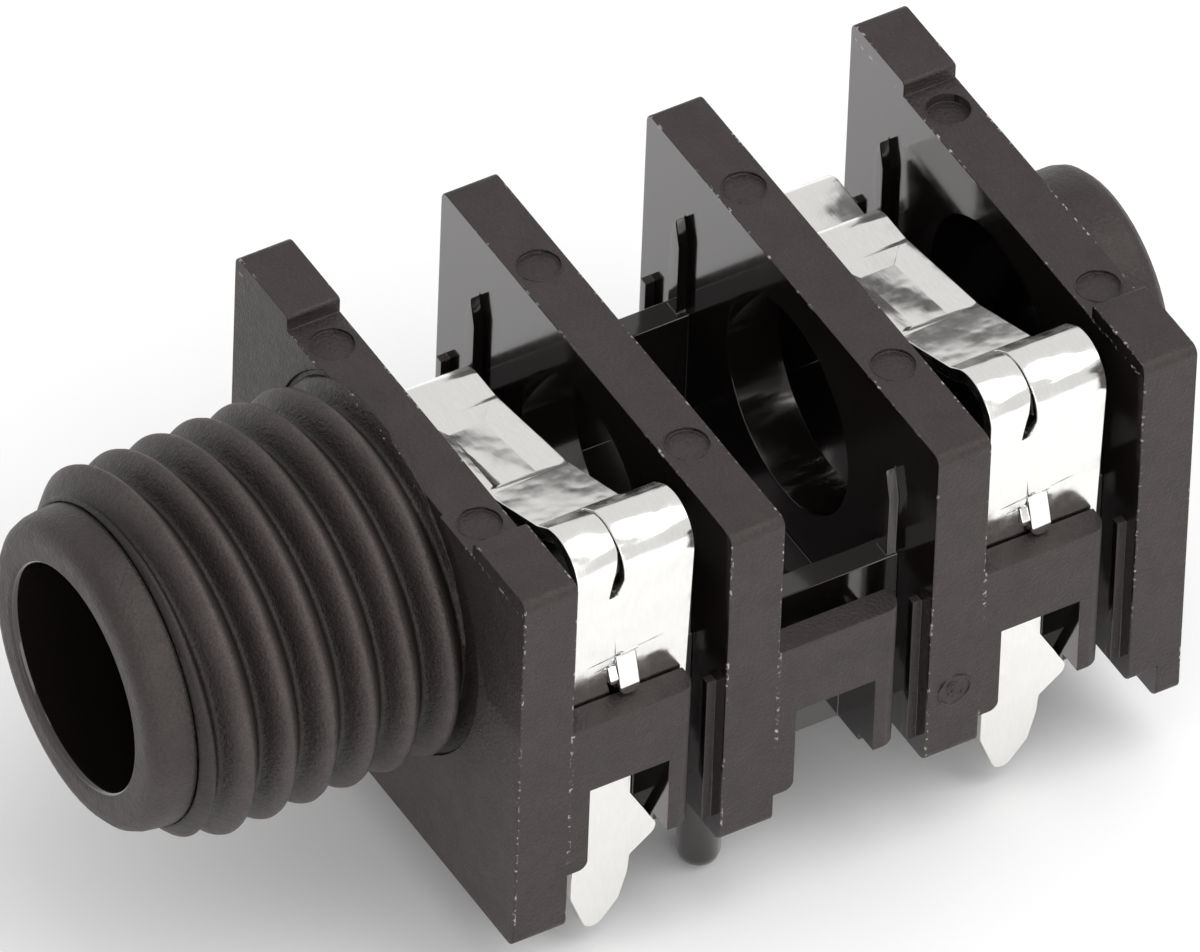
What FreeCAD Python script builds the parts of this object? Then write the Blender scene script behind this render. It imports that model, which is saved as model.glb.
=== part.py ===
import FreeCAD, Part
import math
import os

# Quarter-inch phone jack socket for a circuit board, with a threaded panel bush.
# Millimetres. Y runs along the plug, from the panel into the body. X points to the
# side of the spring terminals and Z points up. The origin is on the plug's axis,
# in the plane of the body's front face, which lies on the back of the panel.
# Heights named "depth" or "bottom" are distances below the plug's axis.

V = FreeCAD.Vector

# Plug and bore
plug_diameter = 6.35
plug_clearance = 0.075          # radial, all round the plug
mouth_round = 0.25
lathe_steps = 3                 # straight pieces in a turned rounding

# Body: four plates in a row, one moulding with the bush
body_width = 15.72
plate_count = 4
plate_pitch = 6.5
plate_thickness = 1.67
body_top = 4.5
plate_bottom = 6.95
seat_depth = 7.94               # front plate and rear foot, which stand on the board
corner_round = 0.3

# Raised corner tabs on the first and last plates
tab_height = 0.5
tab_length = 2.85
tab_round = 0.12

# Foot under the rear edge of the last plate
foot_thickness = 0.77

# Round marks left by the ejector pins on each plate's top
ejector_diameter = 1.25
ejector_spacing = 8.0
ejector_depth = 0.12
ejector_depth_deep = 0.3

# Threaded bush
bush_length = 9.5
thread_diameter = 10.9
thread_depth = 0.72
thread_pitch = 1.27
crest_width = 0.28
turn_steps = 40                 # flat faces in one turn of the thread
first_turn = 1.3                # from the bush's front end to the thread's run-in
nose_step = 0.06                # nose's back end below the thread's root
relief_depth = 0.1              # recess in the front plate round the bush
relief_gap = 0.1                # its edge beyond the thread
nose_diameter = 9.0
nose_round = 0.6

# Rear cap over the plug's tip
cap_diameter = 7.1
cap_length = 2.15
cap_wall = 0.95
cap_round = 0.55

# Trough in each bay: two inner walls and a floor between the plates
trough_bottom = 5.95
floor_thickness = 1.35
wall_thickness = 0.8
right_wall_top = -0.57
left_wall_top = -0.95

# Outer rails and columns, which close the slots of the terminals
rail_thickness = 0.86
slot_width = 1.0
rail_reach = 5.6                # rear end, from the front of the bay's plate
rail_end_round = 0.5
right_rail_top = -0.57
right_rail_bottom = -3.03
left_rail_top = -2.6
left_rail_bottom = -4.6
front_column_back = 2.3         # from the front of the bay's plate
rear_column_front = 4.8
rear_column_bottom = 5.7
column_round = 0.3
cross_wall_length = 1.2         # across the slot and into the inner wall

# Crush ribs on the front faces of plates 2 to 4
rib_proud = 0.3
upper_rib_x = 5.65
upper_rib_width = 0.5
upper_rib_top = 2.4
upper_rib_point = 0.9
lower_rib_x = 7.2
lower_rib_width = 0.3
lower_rib_top = -1.2
lower_rib_bottom = -6.4

# Locating pegs under the second plate
peg_diameter = 1.25
peg_spacing = 10.9
peg_length = 3.05

# Strip metal of the contacts
strip = 0.4
slot_play = 0.05                # between a terminal's leg and its rail
contact_front = 2.2             # leg's front edge, from the front of the bay's plate
leg_width = 3.68
leg_taper = 0.15
leg_shoulder = -2.2             # height where the leg narrows to the pin's shank
leg_top = 3.6                   # where the hoop's bend begins
hoop_corner = 5.45              # height where the leg's line meets the hoop's fall
hoop_round = 0.95
hoop_span = 1.98                # across, from the leg's middle to the fold
fold_height = 4.16
fold_round = 0.4
blade_width = 2.6
blade_knee = (2.07, 3.3)        # points on the blade's upper face, as (x, z)
blade_low = (-1.77, 2.57)
blade_end_x = -3.75
knee_round = 2.5
low_round = 1.2
tail_round = 0.75
tail_bottom_sleeve = 0.35
tail_gap = 0.01                 # tip blade's tail over the break contact

# Relief slit in the hoop, ending in a drop-shaped eye; corners behind the leg's
# front edge, as (y, z)
slit_offset = 1.41
slit_width = 0.05
slit_bottom = 4.2
slit_eye = ((1.0, 2.92), (1.28, 3.02), (1.48, 3.5), (1.45, 4.4), (1.37, 4.4), (1.15, 3.65))
slit_eye_rounds = (0.08, 0.15, 0.25, 0, 0, 0.4)

# Pressed dish in the blade
dish_length = 3.7
dish_width = 1.9
dish_slope = 0.4
dish_depth = 0.24
dish_x = 0.15

# Retaining tongue lanced out of the leg above the rail, as a large and a small lobe
tongue_offset = 1.6             # large lobe's middle, from the leg's front edge
tongue_width = 0.62
tongue_top = 0.8
tongue_proud = 0.32
tongue_play = 0.05
lobe_width = 0.26
lobe_lift = 0.4                 # small lobe's foot above the large one's
lobe_height = 0.6
lobe_proud = 0.2

# Solder pins: corners behind the leg's front edge, as (y, z)
pin_inset = 0.16
shank_width = 1.79
pin_flare = ((1.95, -4.7), (2.9, -6.4), (2.0, -7.1), (1.95, -7.7))
pin_tip = ((1.7, -8.6), (0.8, -9.65))
pin_round = 0.35

# Break contact, which the tip's blade rests on
break_front = 2.3
break_width = 3.0
break_top = 0.95
break_end_x = -3.27
break_end_top = 0.7
break_round = 0.55

half = body_width / 2
bore_r = plug_diameter / 2 + plug_clearance
body_back = (plate_count - 1) * plate_pitch + plate_thickness
rail_inner = half - rail_thickness
wall_outer = rail_inner - slot_width
leg_outer = rail_inner - slot_play
leg_mid = leg_outer - strip / 2
fold_x = leg_mid - hoop_span    # line where the blade leaves the hoop


def box(x0, x1, y0, y1, z0, z1):
    return Part.makeBox(x1 - x0, y1 - y0, z1 - z0, V(x0, y0, z0))


def rounded(corner, before, after, radius):
    """Arc that rounds a corner: its start, middle and end."""
    c, a, b = V(*corner, 0), V(*before, 0), V(*after, 0)
    u = (a - c).normalize()
    w = (b - c).normalize()
    half_angle = u.getAngle(w) / 2
    reach = radius / math.tan(half_angle)
    centre = c + (u + w).normalize() * (radius / math.sin(half_angle))
    middle = centre + (c - centre).normalize() * radius
    return c + u * reach, middle, c + w * reach


def outline(points, radii):
    """Closed wire through the points, each corner rounded by its radius."""
    count = len(points)
    spans = []
    for i in range(count):
        corner, before, after = points[i], points[i - 1], points[(i + 1) % count]
        if radii[i] > 0:
            spans.append(rounded(corner, before, after, radii[i]))
        else:
            spans.append((V(*corner, 0), None, V(*corner, 0)))
    edges = []
    for i in range(count):
        start, middle, end = spans[i]
        following = spans[(i + 1) % count][0]
        if middle is not None:
            edges.append(Part.Arc(start, middle, end).toShape())
        if end.distanceToPoint(following) > 1e-6:
            edges.append(Part.makeLine(end, following))
    return Part.Wire(edges)


def prism_xy(points, radii, z0, z1):
    face = Part.Face(outline(points, radii))
    face.translate(V(0, 0, z0))
    return face.extrude(V(0, 0, z1 - z0))


def prism_xz(points, radii, y0, y1):
    face = Part.Face(outline(points, radii))
    face.rotate(V(0, 0, 0), V(1, 0, 0), 90)
    face.translate(V(0, y0, 0))
    return face.extrude(V(0, y1 - y0, 0))


def prism_yz(points, radii, x0, x1):
    face = Part.Face(outline(points, radii))
    face.rotate(V(0, 0, 0), V(1, 1, 1), 120)
    face.translate(V(x0, 0, 0))
    return face.extrude(V(x1 - x0, 0, 0))


def eased(points, radii):
    """The points, with each rounded corner turned into a few short straight pieces."""
    made = []
    count = len(points)
    for i, corner in enumerate(points):
        if radii[i] == 0:
            made.append(corner)
            continue
        start, middle, end = rounded(corner, points[i - 1], points[(i + 1) % count], radii[i])
        arc = Part.Arc(start, middle, end)
        made += [(spot.x, spot.y) for spot in arc.discretize(lathe_steps + 1)]
    return made


def turned(points, radii):
    """Solid of revolution about the Y axis, from (radius, y) corners."""
    corners = eased(points, radii)
    face = Part.Face(outline(corners, [0] * len(corners)))
    return face.revolve(V(0, 0, 0), V(0, 1, 0), 360)


def plate(index):
    y0 = index * plate_pitch
    y1 = y0 + plate_thickness
    tabbed = index in (0, plate_count - 1)
    low = -seat_depth if index == 0 else -plate_bottom
    top = body_top + tab_height if tabbed else body_top
    corners = [(-half, low), (half, low), (half, top)]
    radii = [corner_round] * 3
    if tabbed:
        inner = half - tab_length
        corners += [(inner, top), (inner, body_top), (-inner, body_top), (-inner, top)]
        radii += [tab_round, 0, 0, tab_round]
    corners.append((-half, top))
    radii.append(corner_round)
    return prism_xz(corners, radii, y0, y1)


def rear_foot():
    corners = [(-half, -seat_depth), (half, -seat_depth), (half, 0), (-half, 0)]
    radii = [corner_round, corner_round, 0, 0]
    return prism_xz(corners, radii, body_back - foot_thickness, body_back)


def ring_of(radius, y):
    """Corners of a regular polygon square to the Y axis, half a step off the thread's."""
    step = 2 * math.pi / turn_steps
    angles = [step * (k + 0.5) for k in range(turn_steps)]
    return [V(radius * math.cos(a), y, -radius * math.sin(a)) for a in angles]


def taper(rings):
    """Solid through polygons of equal corner count, one behind the other."""
    wires = [Part.makePolygon(ring + ring[:1]) for ring in rings]
    return Part.makeLoft(wires, True, True)


def thread_rod(root, back):
    """Rod with the thread along it, as flat faces: flank, crest and flank on each step."""
    crest = thread_diameter / 2
    section = [(root, -thread_pitch / 2), (crest, -crest_width / 2),
               (crest, crest_width / 2), (root, thread_pitch / 2)]
    first = -bush_length - thread_pitch
    turns = math.ceil((back - first) / thread_pitch) + 2
    last = turns * turn_steps
    rings = []
    for k in range(last + 1):
        angle = 2 * math.pi * k / turn_steps
        y = first + thread_pitch * k / turn_steps
        rings.append([V(r * math.cos(angle), y + along, -r * math.sin(angle))
                      for r, along in section])
    loops = []
    for k in range(last):
        here, following = rings[k], rings[k + 1]
        for i in range(3):
            loops.append([here[i], here[i + 1], following[i + 1]])
            loops.append([here[i], following[i + 1], following[i]])
    front, rear = V(0, first, 0), V(0, rings[last][3].y, 0)
    for k in range(turn_steps):
        loops.append([front, rings[k][0], rings[k + 1][0]])
        loops.append([rear, rings[last - k][3], rings[last - k - 1][3]])
    loops.append([front] + rings[0][::-1])
    loops.append([rear] + rings[last])
    faces = [Part.Face(Part.makePolygon(loop + loop[:1])) for loop in loops]
    return Part.makeSolid(Part.makeShell(faces))


def bush():
    """Nose, and the threaded part from its run-in to the recess in the front plate."""
    root = thread_diameter / 2 - thread_depth
    nose = nose_diameter / 2
    run_in = -bush_length + first_turn
    neck = relief_depth + 0.3
    tip = turned([(0, -bush_length), (nose, -bush_length), (root - nose_step, run_in),
                  (0, run_in)], [0, nose_round, 0, 0])
    reach = thread_diameter / 2 + 1
    widened = run_in + reach - root
    room = taper([ring_of(root, run_in), ring_of(reach, widened)])
    room = room.fuse(taper([ring_of(reach, widened), ring_of(reach, 0)]))
    thread = thread_rod(root, 0).common(room)
    core = taper([ring_of(root - nose_step, -1), ring_of(root - nose_step, neck)])
    return thread.fuse([tip, core])


def rear_cap():
    r = cap_diameter / 2
    back = body_back + cap_length
    corners = [(0, body_back - plate_thickness / 2), (r, body_back - plate_thickness / 2),
               (r, back), (0, back)]
    return turned(corners, [0, 0, cap_round, 0])


def bore():
    """Room for the plug, with the rounded mouth at the bush's front end."""
    front = -bush_length
    end = body_back + cap_length - cap_wall
    hole = Part.makeCylinder(bore_r, end - front + 1, V(0, front - 1, 0), V(0, 1, 0))
    wide = bore_r + mouth_round
    rim = turned([(0, front), (wide, front), (bore_r + mouth_round * 0.3,
                  front + mouth_round * 0.3), (bore_r, front + mouth_round),
                  (0, front + mouth_round)], [0] * 5)
    return hole.fuse(rim)


def thread_relief():
    """Shallow recess round the bush, so that a panel clears the thread's end."""
    radius = thread_diameter / 2 + relief_gap
    disc = Part.makeCylinder(radius, relief_depth + 1, V(0, -1, 0), V(0, 1, 0))
    return disc


def trough(index):
    """Two inner walls and a floor that join a plate to the next one."""
    y0 = index * plate_pitch + plate_thickness / 2
    y1 = (index + 1) * plate_pitch + plate_thickness / 2
    inner = wall_outer - wall_thickness
    floor_top = -trough_bottom + floor_thickness
    right = box(inner, wall_outer, y0, y1, -trough_bottom, right_wall_top)
    left = box(-wall_outer, -inner, y0, y1, -trough_bottom, left_wall_top)
    floor = box(-wall_outer, wall_outer, y0, y1, -trough_bottom, floor_top)
    return [right, left, floor]


def slot_frame(index, side, top, bottom):
    """Rail, two columns and cross wall outside one slot; side is 1 or -1."""
    y = index * plate_pitch
    y0 = y + plate_thickness / 2
    back = y + rail_reach
    plan = [(side * rail_inner, y0), (side * half, y0), (side * half, back),
            (side * rail_inner, back)]
    rail = prism_xy(plan, [0, 0, rail_end_round, 0], bottom, top)
    x0, x1 = sorted((side * rail_inner, side * half))
    column = [(y0, -trough_bottom), (y + front_column_back, -trough_bottom),
              (y + front_column_back, top), (y0, top)]
    front = prism_yz(column, [0, column_round, 0, 0], x0, x1)
    plan[0] = (side * rail_inner, y + rear_column_front)
    plan[1] = (side * half, y + rear_column_front)
    rear = prism_xy(plan, [0, 0, rail_end_round, 0], -rear_column_bottom, top)
    x0, x1 = sorted((side * (rail_inner - cross_wall_length), side * (rail_inner + 0.1)))
    cross_top = min(top, leg_shoulder - slot_play)
    cross = box(x0, x1, y + rear_column_front, back, -trough_bottom, cross_top)
    return [rail, front, rear, cross]


def crush_ribs(index):
    """Ribs on a plate's front face: two pointed ones above, two thin ones below."""
    y1 = index * plate_pitch + plate_thickness / 2
    y0 = index * plate_pitch - rib_proud
    ribs = []
    for side in (-1, 1):
        x = side * upper_rib_x
        w = upper_rib_width / 2
        point = upper_rib_top - upper_rib_point
        shape = [(x - w, right_wall_top - 1), (x + w, right_wall_top - 1), (x + w, point),
                 (x, upper_rib_top), (x - w, point)]
        ribs.append(prism_xz(shape, [0, 0, 0, 0, w / 3], y0, y1))
        x = side * lower_rib_x
        w = lower_rib_width / 2
        ribs.append(box(x - w, x + w, y0, y1, lower_rib_bottom, lower_rib_top))
    return ribs


def ejector_marks():
    marks = []
    for index in range(plate_count):
        for side in (-1, 1):
            deep = index == plate_count - 1 and side < 0
            depth = ejector_depth_deep if deep else ejector_depth
            spot = V(side * ejector_spacing / 2, index * plate_pitch + plate_thickness / 2,
                     body_top - depth)
            marks.append(Part.makeCylinder(ejector_diameter / 2, depth + 1, spot))
    return marks


def pegs():
    """Two locating pegs with domed tips."""
    r = peg_diameter / 2
    corners = [(0, -peg_length), (r, -peg_length), (r, 0.5), (0, 0.5)]
    made = []
    for side in (-1, 1):
        peg = turned(corners, [0, r * 0.8, 0, 0])
        peg.rotate(V(0, 0, 0), V(1, 0, 0), 90)
        peg.translate(V(side * peg_spacing / 2, plate_pitch + plate_thickness / 2,
                        -plate_bottom))
        made.append(peg)
    return made


def housing():
    solids = [plate(index) for index in range(plate_count)]
    solids.append(rear_foot())
    solids.append(rear_cap())
    for index in range(plate_count - 1):
        solids += trough(index)
        solids += slot_frame(index, 1, right_rail_top, right_rail_bottom)
        solids += slot_frame(index, -1, left_rail_top, left_rail_bottom)
        solids += crush_ribs(index + 1)
    solids += pegs()
    body = solids[0].fuse(solids[1:]).removeSplitter()
    body = body.cut(thread_relief()).fuse(bush())
    body = body.cut(bore())
    return body.cut(Part.makeCompound(ejector_marks()))


def strip_profile(path, radii):
    """Outline of the strip along a centre line, with rounded bends."""
    count = len(path)
    sides = {1: [], -1: []}
    bends = {1: [], -1: []}
    for i, (x, z) in enumerate(path):
        here = V(x, z, 0)
        before = V(*path[i - 1], 0) if i > 0 else None
        after = V(*path[i + 1], 0) if i < count - 1 else None
        d0 = (here - before).normalize() if before else None
        d1 = (after - here).normalize() if after else None
        d0 = d0 or d1
        d1 = d1 or d0
        n0 = V(-d0.y, d0.x, 0)
        n1 = V(-d1.y, d1.x, 0)
        mitre = (n0 + n1).normalize()
        reach = strip / 2 / mitre.dot(n0)
        turn = d0.x * d1.y - d0.y * d1.x
        for side in (1, -1):
            spot = here + mitre * (reach * side)
            sides[side].append((spot.x, spot.y))
            inside = side * turn > 0
            bend = radii[i] + (-strip / 2 if inside else strip / 2)
            bends[side].append(max(bend, 0.02) if radii[i] > 0 else 0)
    points = sides[1] + sides[-1][::-1]
    return points, bends[1] + bends[-1][::-1]


def pin_plate(y, front, width, top, shoulder, x0, x1):
    """Flat leg and solder pin, standing in a slot."""
    a = y + front
    shank = a + pin_inset
    corners = [(a, top), (a, shoulder), (shank, shoulder - pin_inset)]
    corners += [(shank, pin_tip[1][1] + 1.65)]
    corners += [(a + dy, z) for dy, z in reversed(pin_tip)]
    corners += [(a + dy, z) for dy, z in reversed(pin_flare)]
    corners += [(shank + shank_width, pin_flare[0][1] + 0.3)]
    corners += [(shank + shank_width, shoulder), (a + width - leg_taper, shoulder)]
    corners += [(a + width, top)]
    radii = [0, 0, 0, pin_round, pin_round, 0, 0, 0, pin_round, 0, 0, 0, 0, 0]
    return prism_yz(corners, radii, x0, x1)


def dish(y_mid):
    """Frustum pressed into the blade: its cut from above and its bulge below."""
    slope = math.atan2(blade_knee[1] - blade_low[1], blade_knee[0] - blade_low[0])
    z = blade_low[1] + (dish_x - blade_low[0]) * math.tan(slope)

    def rectangle(inset, height):
        a = dish_length / 2 - inset
        b = dish_width / 2 - inset
        return Part.makePolygon([V(-a, -b, height), V(a, -b, height), V(a, b, height),
                                 V(-a, b, height), V(-a, -b, height)])

    lead = 0.1
    wider = -lead * dish_slope / dish_depth
    cut = Part.makeLoft([rectangle(wider, lead), rectangle(dish_slope, -dish_depth)],
                        True, True)
    bulge = cut.copy()
    bulge.translate(V(0, 0, -strip))
    for shape in (cut, bulge):
        shape.rotate(V(0, 0, 0), V(0, 1, 0), -math.degrees(slope))
        shape.translate(V(dish_x, y_mid, z))
    return cut, bulge


def spring_contact(index, tail_bottom):
    """Leg, hoop and blade of one folded strip, with its solder pin."""
    y = index * plate_pitch
    y0 = y + contact_front
    t = strip / 2
    path = [(leg_mid, leg_top), (leg_mid, hoop_corner), (fold_x, fold_height),
            (blade_knee[0], blade_knee[1] - t), (blade_low[0], blade_low[1] - t),
            (blade_end_x + t, blade_low[1] - t), (blade_end_x + t, tail_bottom)]
    radii = [0, hoop_round, fold_round, knee_round, low_round, tail_round, 0]
    points, bends = strip_profile(path, radii)
    band = prism_xz(points, bends, y0, y0 + leg_width)
    above = hoop_corner + 1
    spare = box(blade_end_x - 1, fold_x, y0 + blade_width, y0 + leg_width + 1, 0, above)
    slit = box(fold_x, half + 1, y0 + slit_offset - slit_width / 2,
               y0 + slit_offset + slit_width / 2, slit_bottom, above)
    leg = pin_plate(y, contact_front, leg_width, leg_top, leg_shoulder,
                    leg_mid - t, leg_mid + t)
    corners = [(y0 + dy, z) for dy, z in slit_eye]
    eye = prism_yz(corners, slit_eye_rounds, fold_x, half + 1)
    cut, bulge = dish(y0 + blade_width / 2)
    shape = band.cut(spare).fuse([leg, bulge, *tongue(y0)]).removeSplitter()
    return shape.cut(cut).cut(slit).cut(eye)


def lobe(middle, width, bottom, top, proud):
    """Rounded drop that stands out of the leg's outer face and leans out downwards."""
    inner = leg_outer - strip / 2
    out = leg_outer + proud
    side = [(inner, top), (leg_outer, top), (out, bottom + proud), (out, bottom),
            (inner, bottom)]
    y0, y1 = middle - width / 2, middle + width / 2
    wedge = prism_xz(side, [0, 0, proud / 2, 0, 0], y0, y1)
    front = [(y0, top), (y1, top), (y1, bottom), (y0, bottom)]
    rounds = [width / 4, width / 4, width * 0.45, width * 0.45]
    return wedge.common(prism_yz(front, rounds, inner, out))


def tongue(y0):
    """Large lobe of the tongue, and the small one in front of it."""
    foot = right_rail_top + tongue_play
    middle = y0 + tongue_offset
    beside = middle - (tongue_width + lobe_width) / 2
    lift = foot + lobe_lift
    return [lobe(middle, tongue_width, foot, tongue_top, tongue_proud),
            lobe(beside, lobe_width, lift, lift + lobe_height, lobe_proud)]


def break_slope():
    """Fall of the break contact's tab per millimetre of x."""
    return (break_top - break_end_top) / (break_end_x + leg_mid)


def break_contact(index):
    """Leg and tab on the left, under the tail of the tip's blade."""
    y = index * plate_pitch
    t = strip / 2
    straight = break_top - t - break_round - 0.1
    path = [(-leg_mid, straight), (-leg_mid, break_top - t),
            (break_end_x, break_end_top - t)]
    points, bends = strip_profile(path, [0, break_round, 0])
    y0 = y + break_front
    band = prism_xz(points, bends, y0, y0 + break_width)
    leg = pin_plate(y, break_front, break_width, straight, leg_shoulder,
                    -leg_mid - t, -leg_mid + t)
    return band.fuse(leg).removeSplitter()


def main():
    os.makedirs("parts", exist_ok=True)
    tail = break_top - break_slope() * (blade_end_x + leg_mid) + tail_gap
    nodes = {
        "housing": housing(),
        "sleeve_contact": spring_contact(0, tail_bottom_sleeve),
        "tip_contact": spring_contact(2, tail),
        "tip_break_contact": break_contact(2),
    }
    for name, shape in nodes.items():
        print(name, shape.isValid(), len(shape.Solids), round(shape.Volume, 2))
        shape.Solids[0].exportStep("parts/" + name + ".step")


main()
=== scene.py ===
# %% [markdown]
# # A quarter-inch phone jack socket, dressed for its portrait
# The part is a socket for a circuit board: a black nylon moulding of four plates and a threaded
# bush, with bright folded springs that touch the plug. The CAD model already holds the main
# shapes, so this lesson adds what CAD leaves out: finishes, tiny marks, light and a camera.

# %% Load the fixed frame
import math

import bmesh
import bpy
from mathutils import Matrix, Vector


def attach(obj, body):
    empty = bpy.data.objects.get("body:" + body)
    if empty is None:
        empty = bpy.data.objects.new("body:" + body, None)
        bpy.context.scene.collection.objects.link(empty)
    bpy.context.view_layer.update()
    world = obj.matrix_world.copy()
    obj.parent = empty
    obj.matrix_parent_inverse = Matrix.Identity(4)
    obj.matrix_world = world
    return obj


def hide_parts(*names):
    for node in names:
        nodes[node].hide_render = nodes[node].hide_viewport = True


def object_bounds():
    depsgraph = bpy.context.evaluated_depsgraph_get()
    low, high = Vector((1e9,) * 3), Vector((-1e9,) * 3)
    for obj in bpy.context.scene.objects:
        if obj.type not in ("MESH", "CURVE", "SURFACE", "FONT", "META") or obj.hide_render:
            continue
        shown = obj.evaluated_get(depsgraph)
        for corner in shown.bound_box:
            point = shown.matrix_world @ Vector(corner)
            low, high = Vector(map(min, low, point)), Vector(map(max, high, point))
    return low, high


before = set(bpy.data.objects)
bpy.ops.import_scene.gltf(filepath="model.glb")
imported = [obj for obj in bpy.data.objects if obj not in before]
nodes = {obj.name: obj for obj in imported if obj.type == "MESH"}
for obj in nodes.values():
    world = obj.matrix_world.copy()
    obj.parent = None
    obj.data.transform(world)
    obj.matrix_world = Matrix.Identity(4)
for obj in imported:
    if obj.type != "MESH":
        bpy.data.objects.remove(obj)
cad_low, cad_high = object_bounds()
print("CAD box in mm:", [round(v * 1000, 2) for v in (*cad_low, *cad_high)])

# %% [markdown]
# ## Units and the places that the other cells need
# Everything is in metres, but a socket is easier to think about in millimetres, so one factor
# turns them. The plates repeat at one pitch, and most small details sit on a plate.

# %% Driving sizes, in millimetres
MM = 0.001
PLATE_PITCH = 6.5
PLATE_THICKNESS = 1.67
PLATE_TOP = 4.5
TAB_TOP = 5.0
PLATE_HALF = 7.86
PLATE_COUNT = 4
BODY_BACK = (PLATE_COUNT - 1) * PLATE_PITCH + PLATE_THICKNESS
BORE_RADIUS = 3.25
RAIL_INNER = 7.0
EJECTOR_SPACING = 8.0
SOFT_EDGE = 0.035
MERGE_METRES = 0.000001


def mm(x, y, z):
    """A place in metres from millimetres."""
    return Vector((x, y, z)) * MM


# %% [markdown]
# ## The camera
# The photograph looks down on the socket from its front right, through a long lens, so lines
# that are parallel on the object stay nearly parallel in the picture. A camera far away with a
# very long focal length does the same. Three angles and one scale place it.

# %% Place the camera at the photograph's angle
CAMERA_AZIMUTH = 58.14
CAMERA_ELEVATION = 43.76
CAMERA_ROLL = 2.27
CAMERA_DISTANCE = 0.9
PHOTO_WIDTH_PIXELS = 1200
PIXELS_PER_MM = 36.61
LOOK_AT = mm(-0.90, 7.64, -1.0)

azimuth, elevation = math.radians(CAMERA_AZIMUTH), math.radians(CAMERA_ELEVATION)
towards = Vector((math.sin(azimuth) * math.cos(elevation),
                  -math.cos(azimuth) * math.cos(elevation), math.sin(elevation)))
level_right = Vector((math.cos(azimuth), math.sin(azimuth), 0))
level_up = towards.cross(level_right)
roll = math.radians(CAMERA_ROLL)
right = level_right * math.cos(roll) + level_up * math.sin(roll)
up = towards.cross(right)
lens_data = bpy.data.cameras.new("portrait_lens")
lens_data.sensor_width = 36
lens_data.lens = 36 * CAMERA_DISTANCE * PIXELS_PER_MM / (PHOTO_WIDTH_PIXELS * MM)
lens_data.clip_start, lens_data.clip_end = 0.05, 10
camera = bpy.data.objects.new("portrait_camera", lens_data)
bpy.context.scene.collection.objects.link(camera)
camera.matrix_world = Matrix((
    (right.x, up.x, towards.x, LOOK_AT.x + towards.x * CAMERA_DISTANCE),
    (right.y, up.y, towards.y, LOOK_AT.y + towards.y * CAMERA_DISTANCE),
    (right.z, up.z, towards.z, LOOK_AT.z + towards.z * CAMERA_DISTANCE),
    (0, 0, 0, 1)))
bpy.context.scene.camera = camera
print("lens in mm:", round(lens_data.lens))

# %% [markdown]
# ## Floor and light
# The socket is small and mostly black, so what we see of it is what it mirrors. A pale floor and
# a few large soft lamps give the plates' glossy faces something to show, and keep the tinned
# springs bright. The white background is the floor's own colour, not more light on the object.

# %% Small helpers for node materials
def new_material(name):
    made = bpy.data.materials.new(name)
    made.use_nodes = True
    tree = made.node_tree
    return made, tree, tree.nodes["Principled BSDF"]


def calc(tree, operation, *values):
    """A Math node on numbers or sockets; its result's socket comes back."""
    node = tree.nodes.new("ShaderNodeMath")
    node.operation = operation
    for i, value in enumerate(values):
        if isinstance(value, (int, float)):
            node.inputs[i].default_value = value
        else:
            tree.links.new(value, node.inputs[i])
    return node.outputs[0]


def noise(tree, place, scale, detail=3.0, roughness=0.55):
    node = tree.nodes.new("ShaderNodeTexNoise")
    node.inputs["Scale"].default_value = scale
    node.inputs["Detail"].default_value = detail
    node.inputs["Roughness"].default_value = roughness
    tree.links.new(place, node.inputs["Vector"])
    return node.outputs["Fac"]


def remap(tree, value, low, high, to_low, to_high):
    node = tree.nodes.new("ShaderNodeMapRange")
    for name, number in (("From Min", low), ("From Max", high),
                         ("To Min", to_low), ("To Max", to_high)):
        node.inputs[name].default_value = number
    tree.links.new(value, node.inputs["Value"])
    return node.outputs["Result"]


def blend_colours(tree, factor, first, second):
    """Between two colours, each a plain triple or a socket."""
    node = tree.nodes.new("ShaderNodeMix")
    node.data_type = "RGBA"
    tree.links.new(factor, node.inputs["Factor"])
    sockets = [i for i in node.inputs if i.type == "RGBA"]
    for socket, value in zip(sockets, (first, second)):
        if isinstance(value, tuple):
            socket.default_value = (*value, 1)
        else:
            tree.links.new(value, socket)
    return [o for o in node.outputs if o.type == "RGBA"][0]


def bump(tree, height, strength, distance, below=None):
    node = tree.nodes.new("ShaderNodeBump")
    node.inputs["Strength"].default_value = strength
    node.inputs["Distance"].default_value = distance
    tree.links.new(height, node.inputs["Height"])
    if below is not None:
        tree.links.new(below, node.inputs["Normal"])
    return node.outputs["Normal"]


# %% Pale floor
def make_floor():
    size = 1.2
    mesh = bpy.data.meshes.new("floor")
    z = cad_low.z - 0.00002
    corners = [(-size, -size, z), (size, -size, z), (size, size, z), (-size, size, z)]
    mesh.from_pydata(corners, [], [(0, 1, 2, 3)])
    floor = bpy.data.objects.new("floor", mesh)
    bpy.context.scene.collection.objects.link(floor)
    material, tree, shader = new_material("floor_white")
    shader.inputs["Base Color"].default_value = (0.99, 0.99, 0.99, 1)
    shader.inputs["Roughness"].default_value = 0.9
    shader.inputs["Specular IOR Level"].default_value = 0.0
    mesh.materials.append(material)


make_floor()
print("floor at, in mm:", round(cad_low.z * 1000, 2))

# %% Studio world and soft lamps
world = bpy.data.worlds.new("studio")
bpy.context.scene.world = world
world.use_nodes = True
background = world.node_tree.nodes["Background"]
background.inputs["Color"].default_value = (1, 1, 1, 1)
background.inputs["Strength"].default_value = 0.76


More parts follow.
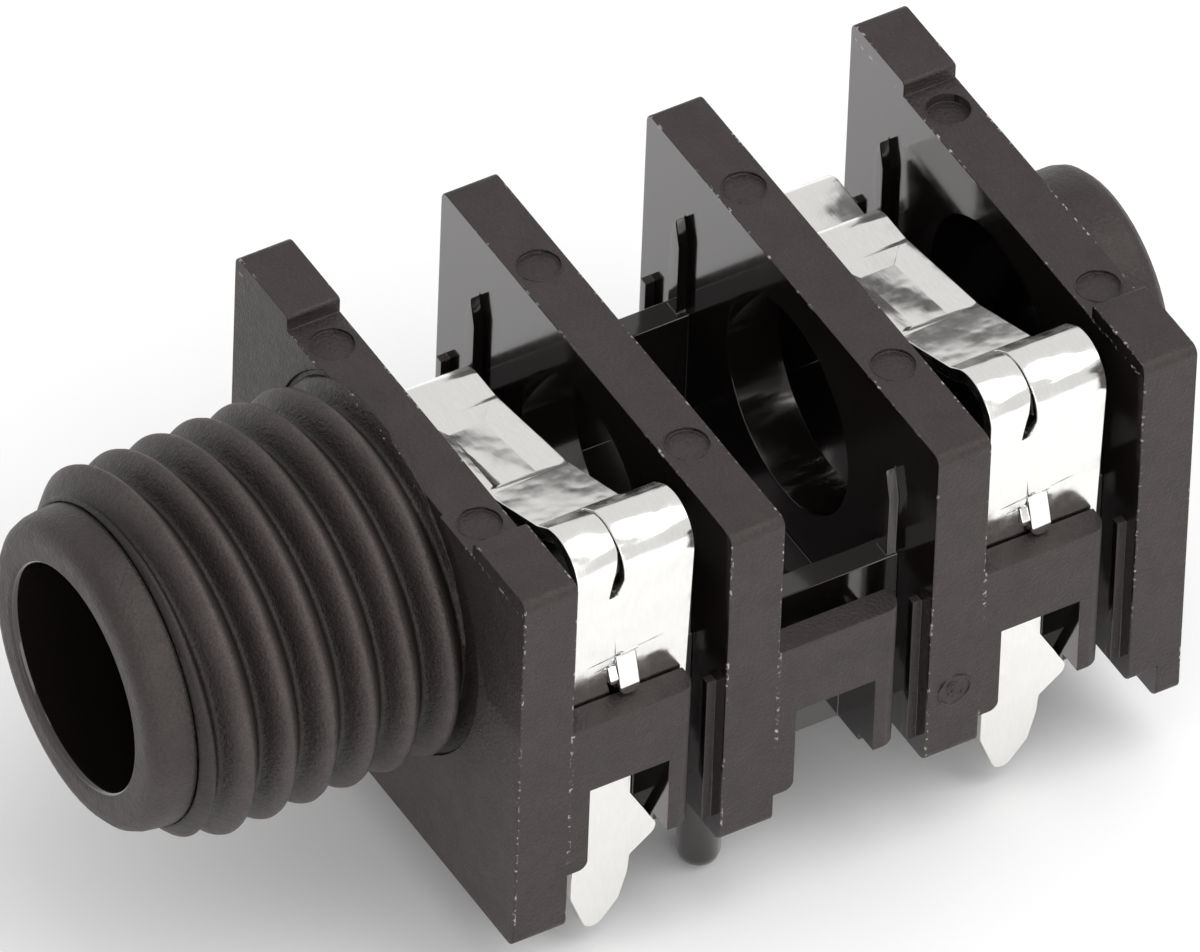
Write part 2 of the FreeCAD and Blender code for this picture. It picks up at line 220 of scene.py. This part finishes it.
def soft_lamp(name, place, aim, size, power):
    data = bpy.data.lights.new(name, "AREA")
    data.shape = "RECTANGLE"
    data.size, data.size_y = size
    data.energy = power
    lamp = bpy.data.objects.new(name, data)
    lamp.location = place
    lamp.rotation_mode = "QUATERNION"
    lamp.rotation_quaternion = (aim - place).to_track_quat("-Z", "Y")
    bpy.context.scene.collection.objects.link(lamp)
    print(name, "watts:", power)


centre = (cad_low + cad_high) / 2
soft_lamp("top_softbox", centre + Vector((0.10, 0.12, 0.30)), centre, (0.25, 0.35), 0.55)
soft_lamp("right_softbox", centre + Vector((0.30, -0.10, 0.12)), centre, (0.2, 0.3), 0.30)
bpy.context.scene.view_settings.view_transform = "Standard"

# %% [markdown]
# ## Black glass-filled nylon
# The moulding's outside came from a spark-eroded, faintly grained tool wall, so it is a warm
# dark grey with no clear mirror. The faces inside the bays and the bore came from polished cores
# and mirror the springs. Which face is which follows from its place and its direction, so one
# material with two finishes does it, and no face is painted by hand.

# %% Distance from the plug's axis
def reach_from_axis(tree, x, z):
    return calc(tree, "SQRT", calc(tree, "ADD", calc(tree, "MULTIPLY", x, x),
                                   calc(tree, "MULTIPLY", z, z)))


# %% Where the tool was polished
def polished_places(tree, x, y, z, ny, nz):
    """1 where a polished core shaped the nylon, 0 where the grained tool wall did."""
    between = calc(tree, "MULTIPLY", calc(tree, "GREATER_THAN", y, 0.5 * MM),
                   calc(tree, "LESS_THAN", y, (BODY_BACK - 0.3) * MM))
    across = calc(tree, "GREATER_THAN", calc(tree, "ABSOLUTE", ny), 0.7)
    inside = calc(tree, "LESS_THAN", calc(tree, "ABSOLUTE", x), (RAIL_INNER - 0.1) * MM)
    inside = calc(tree, "MULTIPLY", inside, calc(tree, "LESS_THAN", z, (PLATE_TOP - 0.4) * MM))
    inside = calc(tree, "MULTIPLY", inside, calc(tree, "GREATER_THAN", nz, -0.5))
    bays = calc(tree, "MULTIPLY", between, calc(tree, "MAXIMUM", across, inside))
    reach = reach_from_axis(tree, x, z)
    # The bore came from a polished core, so it also takes the polished faces' darker colour, which
    # in the bore is painted shade.
    bore = calc(tree, "MULTIPLY", calc(tree, "LESS_THAN", reach, (BORE_RADIUS + 0.12) * MM),
                calc(tree, "LESS_THAN", y, (BODY_BACK + 1.5) * MM))
    return calc(tree, "MAXIMUM", bays, bore)


# %% Chipped and flashed plate edges
def edge_places(tree, x, y, z):
    """1 within a hair's breadth of a plate's outer edges."""
    width = 0.06
    within = calc(tree, "FLOORED_MODULO", calc(tree, "ADD", y, 0.5 * MM), PLATE_PITCH * MM)
    front = calc(tree, "COMPARE", within, 0.5 * MM, width * MM)
    rear = calc(tree, "COMPARE", within, (0.5 + PLATE_THICKNESS) * MM, width * MM)
    along = calc(tree, "MAXIMUM", front, rear)
    side = calc(tree, "GREATER_THAN", calc(tree, "ABSOLUTE", x), (PLATE_HALF - width) * MM)
    top = calc(tree, "MAXIMUM", calc(tree, "COMPARE", z, PLATE_TOP * MM, width * MM),
               calc(tree, "COMPARE", z, TAB_TOP * MM, width * MM))
    on_plates = calc(tree, "GREATER_THAN", y, -width * MM)
    along = calc(tree, "MULTIPLY", along, on_plates)
    return calc(tree, "MULTIPLY", along, calc(tree, "MAXIMUM", side, top))


# %% [markdown]
# The thread's roots are nearly black in the photograph. That is probably shade, and these soft
# lamps don't cast it so deep, so the colour itself darkens towards the root, as painted shade.
# It is an imitation of shade, not a colour that the nylon is known to have. The crests are
# painted paler in the same way, as a painted highlight.

# %% Painted shade in the thread's roots, painted highlight on its crests
def root_shade(tree, x, y, z):
    """Colour factor over the bush's thread: painted highlight on the crests, painted shade in the
    roots.
    """
    reach = reach_from_axis(tree, x, z)
    # Painted shade in the roots and a painted highlight on the crests, from 0.15 to 1.7 times the
    # colour.
    painted_shade_and_highlight = remap(tree, reach, 4.75 * MM, 5.40 * MM, 0.15, 1.7)
    on_thread = calc(tree, "MULTIPLY", calc(tree, "LESS_THAN", y, 0.0),
                     calc(tree, "GREATER_THAN", y, -8.3 * MM))
    on_thread = calc(tree, "MULTIPLY", on_thread, calc(tree, "GREATER_THAN", reach, 4.6 * MM))
    return calc(tree, "MULTIPLY_ADD", calc(tree, "SUBTRACT", painted_shade_and_highlight, 1.0), on_thread, 1.0)


# %% Nylon with a grained and a polished finish
def nylon_material():
    material, tree, shader = new_material("nylon_grained_and_polished")
    place = tree.nodes.new("ShaderNodeTexCoord").outputs["Object"]
    split = tree.nodes.new("ShaderNodeSeparateXYZ")
    tree.links.new(place, split.inputs[0])
    x, y, z = split.outputs[:3]
    facing = tree.nodes.new("ShaderNodeSeparateXYZ")
    tree.links.new(tree.nodes.new("ShaderNodeNewGeometry").outputs["Normal"], facing.inputs[0])
    polished = polished_places(tree, x, y, z, *facing.outputs[1:3])
    grain = noise(tree, place, 9000.0, 3.0, 0.6)
    patches = noise(tree, place, 900.0, 4.0)
    streaks = noise(tree, place, 2600.0, 5.0, 0.7)
    grained = blend_colours(tree, remap(tree, patches, 0.3, 0.7, 0, 1),
                            (0.0180, 0.0150, 0.0142), (0.0265, 0.0222, 0.0212))
    speckle = remap(tree, noise(tree, place, 14000.0, 1.0), 0.35, 0.70, 0.80, 1.35)
    # The thread's speckled colour takes its painted shade and painted highlight here.
    speckle = calc(tree, "MULTIPLY", speckle, root_shade(tree, x, y, z))
    shade = tree.nodes.new("ShaderNodeVectorMath")
    shade.operation = "SCALE"
    tree.links.new(grained, shade.inputs[0])
    tree.links.new(speckle, shade.inputs["Scale"])
    # Polished faces take a darker colour; in the bore this darker colour is painted shade.
    colour = blend_colours(tree, polished, shade.outputs[0], (0.0075, 0.0058, 0.0052))
    chips = remap(tree, noise(tree, place, 6500.0, 2.0), 0.56, 0.65, 0, 0.85)
    stretches = remap(tree, noise(tree, place, 420.0, 1.0), 0.44, 0.56, 0, 1)
    chips = calc(tree, "MULTIPLY", chips, stretches)
    chips = calc(tree, "MULTIPLY", chips, edge_places(tree, x, y, z))
    colour = blend_colours(tree, chips, colour, (0.42, 0.39, 0.37))
    tree.links.new(colour, shader.inputs["Base Color"])
    rough = remap(tree, streaks, 0.3, 0.7, 0.42, 0.56)
    smooth = remap(tree, streaks, 0.3, 0.7, 0.07, 0.17)
    gap = calc(tree, "SUBTRACT", smooth, rough)
    tree.links.new(calc(tree, "MULTIPLY_ADD", gap, polished, rough), shader.inputs["Roughness"])
    shader.inputs["Specular IOR Level"].default_value = 0.5
    shader.inputs["Specular Tint"].default_value = (1.0, 0.87, 0.86, 1)
    tree.links.new(calc(tree, "MULTIPLY", polished, 0.8), shader.inputs["Coat Weight"])
    shader.inputs["Coat Roughness"].default_value = 0.08
    fine = calc(tree, "MULTIPLY", grain, calc(tree, "SUBTRACT", 1.0, polished))
    normal = bump(tree, fine, 0.9, 0.00004)
    tree.links.new(normal, shader.inputs["Normal"])
    return material


nylon = nylon_material()
print("nylon nodes:", len(nylon.node_tree.nodes))

# %% [markdown]
# ## Bright tinned strip
# The springs are cut from thin spring metal with a bright tin coat. Tin is softer than chrome:
# it shows the rolling direction, small rub marks and a slightly wavy reflection.

# %% Tinned spring metal
def tin_material():
    material, tree, shader = new_material("bright_tin")
    shader.inputs["Metallic"].default_value = 1.0
    place = tree.nodes.new("ShaderNodeTexCoord").outputs["Object"]
    stretch = tree.nodes.new("ShaderNodeMapping")
    stretch.inputs["Scale"].default_value = (1.0, 7.0, 1.0)
    tree.links.new(place, stretch.inputs["Vector"])
    rolling = noise(tree, stretch.outputs["Vector"], 2500.0, 5.0, 0.6)
    waves = noise(tree, place, 650.0, 2.0, 0.5)
    smudges = noise(tree, place, 1300.0, 4.0, 0.65)
    colour = blend_colours(tree, rolling, (0.84, 0.825, 0.80), (0.975, 0.965, 0.945))
    tree.links.new(colour, shader.inputs["Base Color"])
    gloss = remap(tree, smudges, 0.35, 0.7, 0.09, 0.26)
    tree.links.new(gloss, shader.inputs["Roughness"])
    normal = bump(tree, waves, 0.55, 0.00012)
    normal = bump(tree, rolling, 0.12, 0.00001, normal)
    tree.links.new(normal, shader.inputs["Normal"])
    return material


tin = tin_material()

# %% [markdown]
# ## Softened edges
# No moulded or sheared edge is perfectly sharp: it has a tiny radius that catches the light as
# a thin line. The CAD solids stay as they are. A merged copy of each gets a narrow bevel on its
# sharp edges and stands in its place.

# %% Merging and softening a copy of a CAD node
def merged_copy(node):
    shape = bmesh.new()
    shape.from_mesh(nodes[node].data)
    bmesh.ops.remove_doubles(shape, verts=shape.verts, dist=MERGE_METRES)
    bmesh.ops.dissolve_limit(shape, angle_limit=math.radians(1), verts=shape.verts,
                             edges=shape.edges)
    return shape


def as_piece(shape, name):
    mesh = bpy.data.meshes.new(name)
    shape.to_mesh(mesh)
    shape.free()
    piece = bpy.data.objects.new(name, mesh)
    bpy.context.scene.collection.objects.link(piece)
    return piece


def applied(piece):
    """The piece with its modifiers' result as its plain mesh."""
    depsgraph = bpy.context.evaluated_depsgraph_get()
    mesh = bpy.data.meshes.new_from_object(piece.evaluated_get(depsgraph))
    piece.modifiers.clear()
    piece.data = mesh
    return mesh


def soften(piece, width, angle):
    """Bevels the sharp edges, and lets only the narrow new faces shade round."""
    modifier = piece.modifiers.new("edge_radius", "BEVEL")
    modifier.width = width * MM
    modifier.segments = 2
    modifier.limit_method = "ANGLE"
    modifier.angle_limit = math.radians(angle)
    modifier.use_clamp_overlap = False
    flatter = piece.modifiers.new("flat_faces_stay_flat", "WEIGHTED_NORMAL")
    flatter.keep_sharp = True
    piece.data.shade_smooth()
    applied(piece)


def dress(piece, material, slot, *replaced):
    """Finish and body of a piece, and the nodes that it stands for. Its slot is not used."""
    piece.data.materials.clear()
    piece.data.materials.append(material)
    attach(piece, "root")
    for node in replaced:
        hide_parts(node)
    print(piece.name, "faces:", len(piece.data.polygons))


# %% The springs, with their sheared edges eased
for node in ("sleeve_contact", "tip_contact", "tip_break_contact"):
    spring = as_piece(merged_copy(node), node + "_bright")
    soften(spring, SOFT_EDGE, 32)
    dress(spring, tin, "tinned_strip", node)

# %% [markdown]
# ## The bush's thread
# A thread is one small profile carried round and along at the same time. The CAD solid has it
# in forty flat steps a turn. Here the same thread is made fine, with its rounded crest and
# narrow root: one pitch of the profile goes through Blender's Screw modifier. Its ends are cut
# off square, the front one held down on the run-in cone, the rear one in the plate's recess.

# %% Thread sizes, in millimetres
THREAD_PITCH = 1.27
THREAD_CREST = 5.44
THREAD_ROOT = 4.73
THREAD_START = -9.5 - THREAD_PITCH
THREAD_RUN_IN = -8.2
THREAD_BACK = 0.09
THREAD_INSIDE = 4.5
THREAD_CORE = 4.64
THREAD_STEPS = 96
THREAD_TURNS = 10


# %% One pitch of the rounded profile
def thread_profile(points=14):
    """(radius, y) along one pitch, from root to root, with a round crest between them."""
    made = []
    for i in range(points + 1):
        lift = (0.5 - 0.5 * math.cos(2 * math.pi * i / points)) ** 0.9
        made.append((THREAD_ROOT + (THREAD_CREST - THREAD_ROOT) * lift,
                     THREAD_START + (i / points - 0.5) * THREAD_PITCH))
    return made


# %% The profile, carried round by the Screw modifier
def sweep_thread():
    profile = thread_profile()
    mesh = bpy.data.meshes.new("bush_thread")
    mesh.from_pydata([(r * MM, y * MM, 0) for r, y in profile],
                     [(i, i + 1) for i in range(len(profile) - 1)], [])
    piece = bpy.data.objects.new("bush_thread", mesh)
    bpy.context.scene.collection.objects.link(piece)
    screw = piece.modifiers.new("thread", "SCREW")
    screw.axis = "Y"
    screw.screw_offset = THREAD_PITCH * MM
    screw.iterations = THREAD_TURNS
    screw.steps = screw.render_steps = THREAD_STEPS
    applied(piece)
    return piece


# %% Its ends, cut off square and run in on a cone at the nose
def trim_ends(piece):
    shape = bmesh.new()
    shape.from_mesh(piece.data)
    bmesh.ops.remove_doubles(shape, verts=shape.verts, dist=2 * MERGE_METRES)
    for y, outwards in ((THREAD_RUN_IN, -1), (THREAD_BACK, 1)):
        everything = [*shape.verts, *shape.edges, *shape.faces]
        bmesh.ops.bisect_plane(shape, geom=everything, dist=0.0000001, plane_co=mm(0, y, 0),
                               plane_no=(0, outwards, 0), clear_outer=True)
    for vert in shape.verts:
        reach, y = math.hypot(vert.co.x, vert.co.z) / MM, vert.co.y / MM
        wanted = min(reach, THREAD_ROOT + y - THREAD_RUN_IN)
        vert.co.x *= wanted / reach
        vert.co.z *= wanted / reach
    bmesh.ops.remove_doubles(shape, verts=shape.verts, dist=2 * MERGE_METRES)
    return shape


# %% Closing the thread inwards, so that it is a solid sleeve on the bush's core
def close_inwards(shape):
    rings = []
    for y in (THREAD_RUN_IN, THREAD_BACK):
        open_edges = [e for e in shape.edges if e.is_boundary
                      and abs(e.verts[0].co.y - y * MM) < 0.00001]
        made = bmesh.ops.extrude_edge_only(shape, edges=open_edges)["geom"]
        ring = [v for v in made if isinstance(v, bmesh.types.BMVert)]
        for vert in ring:
            reach = math.hypot(vert.co.x, vert.co.z)
            vert.co.x *= THREAD_INSIDE * MM / reach
            vert.co.z *= THREAD_INSIDE * MM / reach
        rings += [e for e in made if isinstance(e, bmesh.types.BMEdge)]
    bmesh.ops.bridge_loops(shape, edges=rings)
    bmesh.ops.recalc_face_normals(shape, faces=shape.faces)
    return shape


swept = sweep_thread()
closed = close_inwards(trim_ends(swept))
print("thread open edges:", sum(1 for e in closed.edges if e.is_boundary))
crests = [v.co / MM for v in closed.verts
          if math.hypot(v.co.x, v.co.z) > (THREAD_CREST - 0.005) * MM]
offsets = [((v.y - THREAD_START) / THREAD_PITCH - math.atan2(-v.z, v.x) / (2 * math.pi)) % 1
           for v in crests]
print("crests off the helix, in pitches:", round(max(min(o, 1 - o) for o in offsets), 3))
bpy.data.objects.remove(swept)
thread = as_piece(closed, "bush_thread_fine")
thread.data.shade_smooth()
dress(thread, nylon, "black_nylon")

# %% [markdown]
# ## The moulding
# The housing is one moulding, and its copy stays one piece. Only the flat-faced thread is drawn
# in to a plain core, because the fine thread sits round it.

# %% The housing, with its mould edges eased
def draw_in_thread(shape):
    for vert in shape.verts:
        reach, y = math.hypot(vert.co.x, vert.co.z) / MM, vert.co.y / MM
        if THREAD_RUN_IN - 0.01 < y < 0.01 and THREAD_CORE < reach < 5.5:
            vert.co.x *= THREAD_CORE / reach
            vert.co.z *= THREAD_CORE / reach
    bmesh.ops.dissolve_degenerate(shape, edges=shape.edges, dist=MERGE_METRES)


moulding = merged_copy("housing")
draw_in_thread(moulding)
print("moulding open edges:", sum(1 for e in moulding.edges if len(e.link_faces) != 2))
housing = as_piece(moulding, "housing_moulding")
soften(housing, SOFT_EDGE, 35)
dress(housing, nylon, "black_nylon", "housing")

# %% [markdown]
# ## Torn rims and the gate's scar
# Pins pushed the moulding out of its tool, and each left a shallow round mark with a thin, torn
# rim of nylon. Where the runner broke off, on the third plate's side, there is a rougher scar of
# the same kind. A ring that repeats on points suits Geometry Nodes: the tree sweeps one ring,
# sets a copy on every point, and lets noise pull each copy out of round.

# %% A node tree that sets uneven rings on points
def ring_tree():
    tree = bpy.data.node_groups.new("torn_rings", "GeometryNodeTree")
    face = tree.interface
    face.new_socket("Marks", in_out="INPUT", socket_type="NodeSocketGeometry")
    for name, value in (("Ring Radius", 0.64), ("Thickness", 0.02), ("Unevenness", 0.05)):
        made = face.new_socket(name, in_out="INPUT", socket_type="NodeSocketFloat")
        made.default_value = value * MM
    face.new_socket("Material", in_out="INPUT", socket_type="NodeSocketMaterial")
    face.new_socket("Rings", in_out="OUTPUT", socket_type="NodeSocketGeometry")
    start, end = tree.nodes.new("NodeGroupInput"), tree.nodes.new("NodeGroupOutput")
    ring = tree.nodes.new("GeometryNodeCurvePrimitiveCircle")
    section = tree.nodes.new("GeometryNodeCurvePrimitiveCircle")
    ring.inputs["Resolution"].default_value = 48
    section.inputs["Resolution"].default_value = 6
    sweep = tree.nodes.new("GeometryNodeCurveToMesh")
    copies = tree.nodes.new("GeometryNodeInstanceOnPoints")
    real = tree.nodes.new("GeometryNodeRealizeInstances")
    pull = tree.nodes.new("GeometryNodeSetPosition")
    paint = tree.nodes.new("GeometryNodeSetMaterial")
    place = tree.nodes.new("GeometryNodeInputPosition")
    rough = tree.nodes.new("ShaderNodeTexNoise")
    rough.inputs["Scale"].default_value = 3200.0
    centred = tree.nodes.new("ShaderNodeVectorMath")
    centred.operation = "SUBTRACT"
    centred.inputs[1].default_value = (0.5, 0.5, 0.5)
    scaled = tree.nodes.new("ShaderNodeVectorMath")
    scaled.operation = "SCALE"
    for source, output, target, socket in (
            (start, "Ring Radius", ring, "Radius"), (start, "Thickness", section, "Radius"),
            (ring, "Curve", sweep, "Curve"), (section, "Curve", sweep, "Profile Curve"),
            (start, "Marks", copies, "Points"), (sweep, "Mesh", copies, "Instance"),
            (copies, "Instances", real, "Geometry"), (real, "Geometry", pull, "Geometry"),
            (place, "Position", rough, "Vector"), (rough, "Color", centred, 0),
            (centred, "Vector", scaled, 0), (start, "Unevenness", scaled, "Scale"),
            (scaled, "Vector", pull, "Offset"), (pull, "Geometry", paint, "Geometry"),
            (start, "Material", paint, "Material"), (paint, "Geometry", end, "Rings")):
        tree.links.new(source.outputs[output], target.inputs[socket])
    return tree


# %% Rings made from a list of points
torn_rings = ring_tree()


def make_rings(name, points, **sizes):
    mesh = bpy.data.meshes.new(name)
    mesh.from_pydata([mm(*point) for point in points], [], [])
    piece = bpy.data.objects.new(name, mesh)
    bpy.context.scene.collection.objects.link(piece)
    modifier = piece.modifiers.new("rings", "NODES")
    modifier.node_group = torn_rings
    sockets = {item.name: item.identifier for item in torn_rings.interface.items_tree
               if item.in_out == "INPUT"}
    modifier[sockets["Material"]] = nylon
    for label, value in sizes.items():
        modifier[sockets[label.replace("_", " ")]] = value * MM
    applied(piece).shade_smooth()
    return piece


# %% Rims of the eight ejector marks
marks = [(side * EJECTOR_SPACING / 2, index * PLATE_PITCH + PLATE_THICKNESS / 2, PLATE_TOP - 0.006)
         for index in range(PLATE_COUNT) for side in (-1, 1)]
rims = make_rings("ejector_rims", marks, Ring_Radius=0.635, Thickness=0.022, Unevenness=0.07)
dress(rims, nylon, "black_nylon")

# %% The gate's scar on the third plate's right side
scar = make_rings("gate_scar", [(0, 0, 0)], Ring_Radius=0.5, Thickness=0.045, Unevenness=0.16)
core = make_rings("gate_core", [(0, 0, 0), (0.08, 0.1, 0), (-0.1, -0.06, 0)],
                  Ring_Radius=0.16, Thickness=0.06, Unevenness=0.2)
scar_place = mm(PLATE_HALF - 0.01, 2 * PLATE_PITCH + 0.85, -4.55)
for part in (scar, core):
    part.data.transform(Matrix.Translation(scar_place) @ Matrix.Rotation(math.pi / 2, 4, "Y"))
    dress(part, nylon, "black_nylon")
